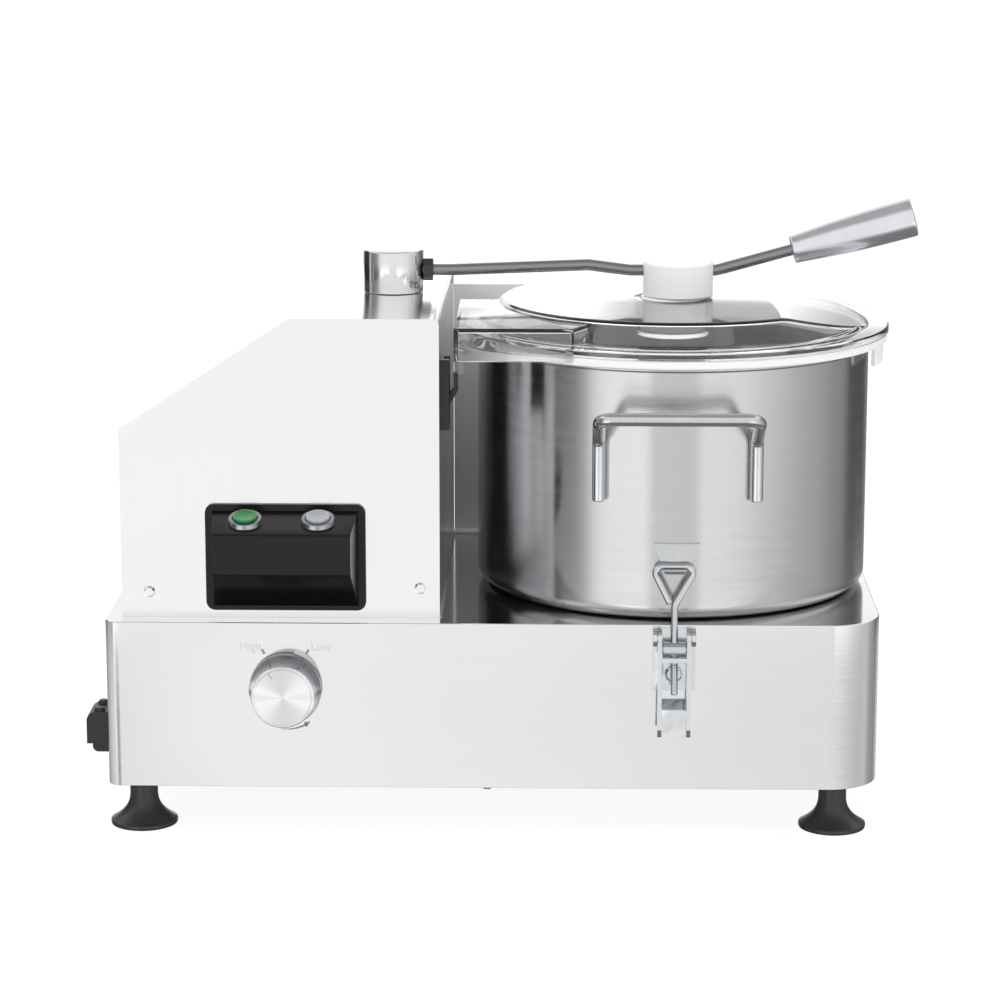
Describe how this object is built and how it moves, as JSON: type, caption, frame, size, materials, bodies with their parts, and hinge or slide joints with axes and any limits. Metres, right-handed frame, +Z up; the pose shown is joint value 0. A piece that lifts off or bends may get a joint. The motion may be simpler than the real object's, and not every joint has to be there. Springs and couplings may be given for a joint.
{
  "type": "vegetable cutting machine",
  "caption": "Bench-top bowl cutter: belt-driven knives in a latched steel bowl under a clear lid held by a swinging arm, with a motor housing, buttons and a speed knob.",
  "frame": {"origin": "on the floor under the middle of the machine's overall box", "axes": "+X to the machine's right, the longest way; +Y from the control side to the back; +Z up"},
  "size_m": [0.5248, 0.312, 0.3845],
  "materials": {
    "steel_sheet": "brushed stainless sheet",
    "satin_steel_sheet": "fine satin stainless sheet",
    "foot_rubber": "moulded grey rubber",
    "zinc_fasteners": "zinc plated",
    "pod_plastic": "moulded grey plastic",
    "bezel_metal": "polished ring",
    "green_plastic": "moulded green",
    "grey_plastic": "moulded light grey",
    "black_plastic": "moulded black",
    "turned_aluminium": "turned, satin",
    "black_steel": "black oxide",
    "board_laminate": "printed board",
    "motor_aluminium": "cast",
    "stator_iron": "laminated",
    "capacitor_plastic": "moulded",
    "pulley_aluminium": "turned",
    "belt_rubber": "moulded",
    "polished_steel": "polished stainless",
    "brushed_bowl_steel": "brushed stainless, drawn",
    "clear_lid": "clear moulded polycarbonate",
    "white_plastic": "moulded white",
    "satin_grip_metal": "satin turned grip"
  },
  "bodies": {
    "machine": {"base_shell": "steel_sheet", "base_bottom_plate": "steel_sheet", "rubber_feet": "foot_rubber", "foot_bolts": "zinc_fasteners", "motor_housing": "satin_steel_sheet", "housing_back_cover": "steel_sheet", "housing_screws": "zinc_fasteners", "rear_guard": "satin_steel_sheet", "control_pod": "pod_plastic", "button_bezels": "bezel_metal", "button_switches": "black_plastic", "speed_pot": "black_plastic", "speed_board": "board_laminate", "board_standoffs": "zinc_fasteners", "cord_entry": "black_plastic", "motor_casing": "motor_aluminium", "motor_end_bells": "motor_aluminium", "motor_stator": "stator_iron", "motor_bearings": "zinc_fasteners", "motor_mount_plate": "steel_sheet", "motor_bolts": "zinc_fasteners", "run_capacitor": "capacitor_plastic", "drive_belt": "belt_rubber", "bearing_housing": "motor_aluminium", "spindle_bearings": "zinc_fasteners", "shaft_seal": "belt_rubber", "bowl": "brushed_bowl_steel", "bowl_handles": "polished_steel", "bowl_catches": "polished_steel", "arm_pivot_stud": "polished_steel", "lid_switch": "black_plastic", "latch_plates": "polished_steel", "latch_pins": "zinc_fasteners"},
    "motor_rotor_body": {"motor_rotor": "stator_iron", "motor_fan": "black_plastic", "motor_pulley": "pulley_aluminium"},
    "cutter_body": {"spindle_pulley": "pulley_aluminium", "spindle": "polished_steel", "blade_hub": "black_plastic", "lower_blade": "polished_steel", "upper_blade": "polished_steel", "blade_nut": "polished_steel"},
    "lid_body": {"lid_shell": "clear_lid", "lid_seal": "white_plastic", "lid_knob": "white_plastic"},
    "arm_body": {"arm_post": "polished_steel", "arm_nut": "black_steel", "arm_rod": "polished_steel", "arm_pad": "white_plastic", "arm_grip": "satin_grip_metal"},
    "start_button_body": {"start_button": "green_plastic"},
    "stop_button_body": {"stop_button": "grey_plastic"},
    "speed_knob_body": {"speed_knob": "turned_aluminium", "knob_grub_screw": "black_steel", "pot_shaft": "zinc_fasteners"},
    "switch_lever_body": {"lid_switch_lever": "black_plastic"},
    "front_lever_body": {"front_latch_lever": "polished_steel"},
    "front_hook_body": {"front_latch_hook": "polished_steel"},
    "rear_lever_body": {"rear_latch_lever": "polished_steel"},
    "rear_hook_body": {"rear_latch_hook": "polished_steel"}
  },
  "joints": [
    {"name": "motor_spin", "type": "hinge", "parent": "machine", "child": "motor_rotor_body", "pos_m": [-0.13137, 0, 0.197], "axis": [0, 0, 1], "continuous": true},
    {"name": "cutter_spin", "type": "hinge", "parent": "machine", "child": "cutter_body", "pos_m": [0.10663, 0, 0.197], "axis": [0, 0, 1], "continuous": true},
    {"name": "lid_turn", "type": "hinge", "parent": "machine", "child": "lid_body", "pos_m": [0.10663, 0, 0.296], "axis": [0, 0, 1], "range_deg": [0, 60]},
    {"name": "arm_swing", "type": "hinge", "parent": "machine", "child": "arm_body", "pos_m": [-0.07313, 0, 0.338], "axis": [0, 0, 1], "range_deg": [-110, 110]},
    {"name": "start_press", "type": "slide", "parent": "machine", "child": "start_button_body", "axis": [0, 0.3054, -0.9522], "range_m": [0, 0.0022], "stiffness_N_per_m": 700},
    {"name": "stop_press", "type": "slide", "parent": "machine", "child": "stop_button_body", "axis": [0, 0.3054, -0.9522], "range_m": [0, 0.0022], "stiffness_N_per_m": 700},
    {"name": "speed_turn", "type": "hinge", "parent": "machine", "child": "speed_knob_body", "pos_m": [-0.13437, -0.133, 0.09552], "axis": [0, -1, 0], "range_deg": [0, 240]},
    {"name": "switch_lever_tilt", "type": "hinge", "parent": "machine", "child": "switch_lever_body", "pos_m": [-0.03547, -0.094, 0.26741], "axis": [0, -1, 0], "range_deg": [0, 8], "stiffness_Nm_per_rad": 0.4},
    {"name": "front_latch_lift", "type": "hinge", "parent": "machine", "child": "front_lever_body", "pos_m": [0.10514, -0.1405, 0.1305], "axis": [-1, 0, 0], "range_deg": [0, 85]},
    {"name": "front_hook_swing", "type": "hinge", "parent": "front_lever_body", "child": "front_hook_body", "pos_m": [0.10514, -0.1405, 0.1232], "axis": [-1, 0, 0], "range_deg": [-78, 1]},
    {"name": "rear_latch_lift", "type": "hinge", "parent": "machine", "child": "rear_lever_body", "pos_m": [0.10813, 0.1405, 0.1305], "axis": [1, 0, 0], "range_deg": [0, 85]},
    {"name": "rear_hook_swing", "type": "hinge", "parent": "rear_lever_body", "child": "rear_hook_body", "pos_m": [0.10813, 0.1405, 0.1232], "axis": [1, 0, 0], "range_deg": [-78, 1]}
  ],
  "couplings": [
    {"joint": "cutter_spin", "follows": "motor_spin", "ratio": 0.66667},
    {"joint": "front_hook_swing", "follows": "front_latch_lift", "ratio": -0.9},
    {"joint": "rear_hook_swing", "follows": "rear_latch_lift", "ratio": -0.9}
  ]
}
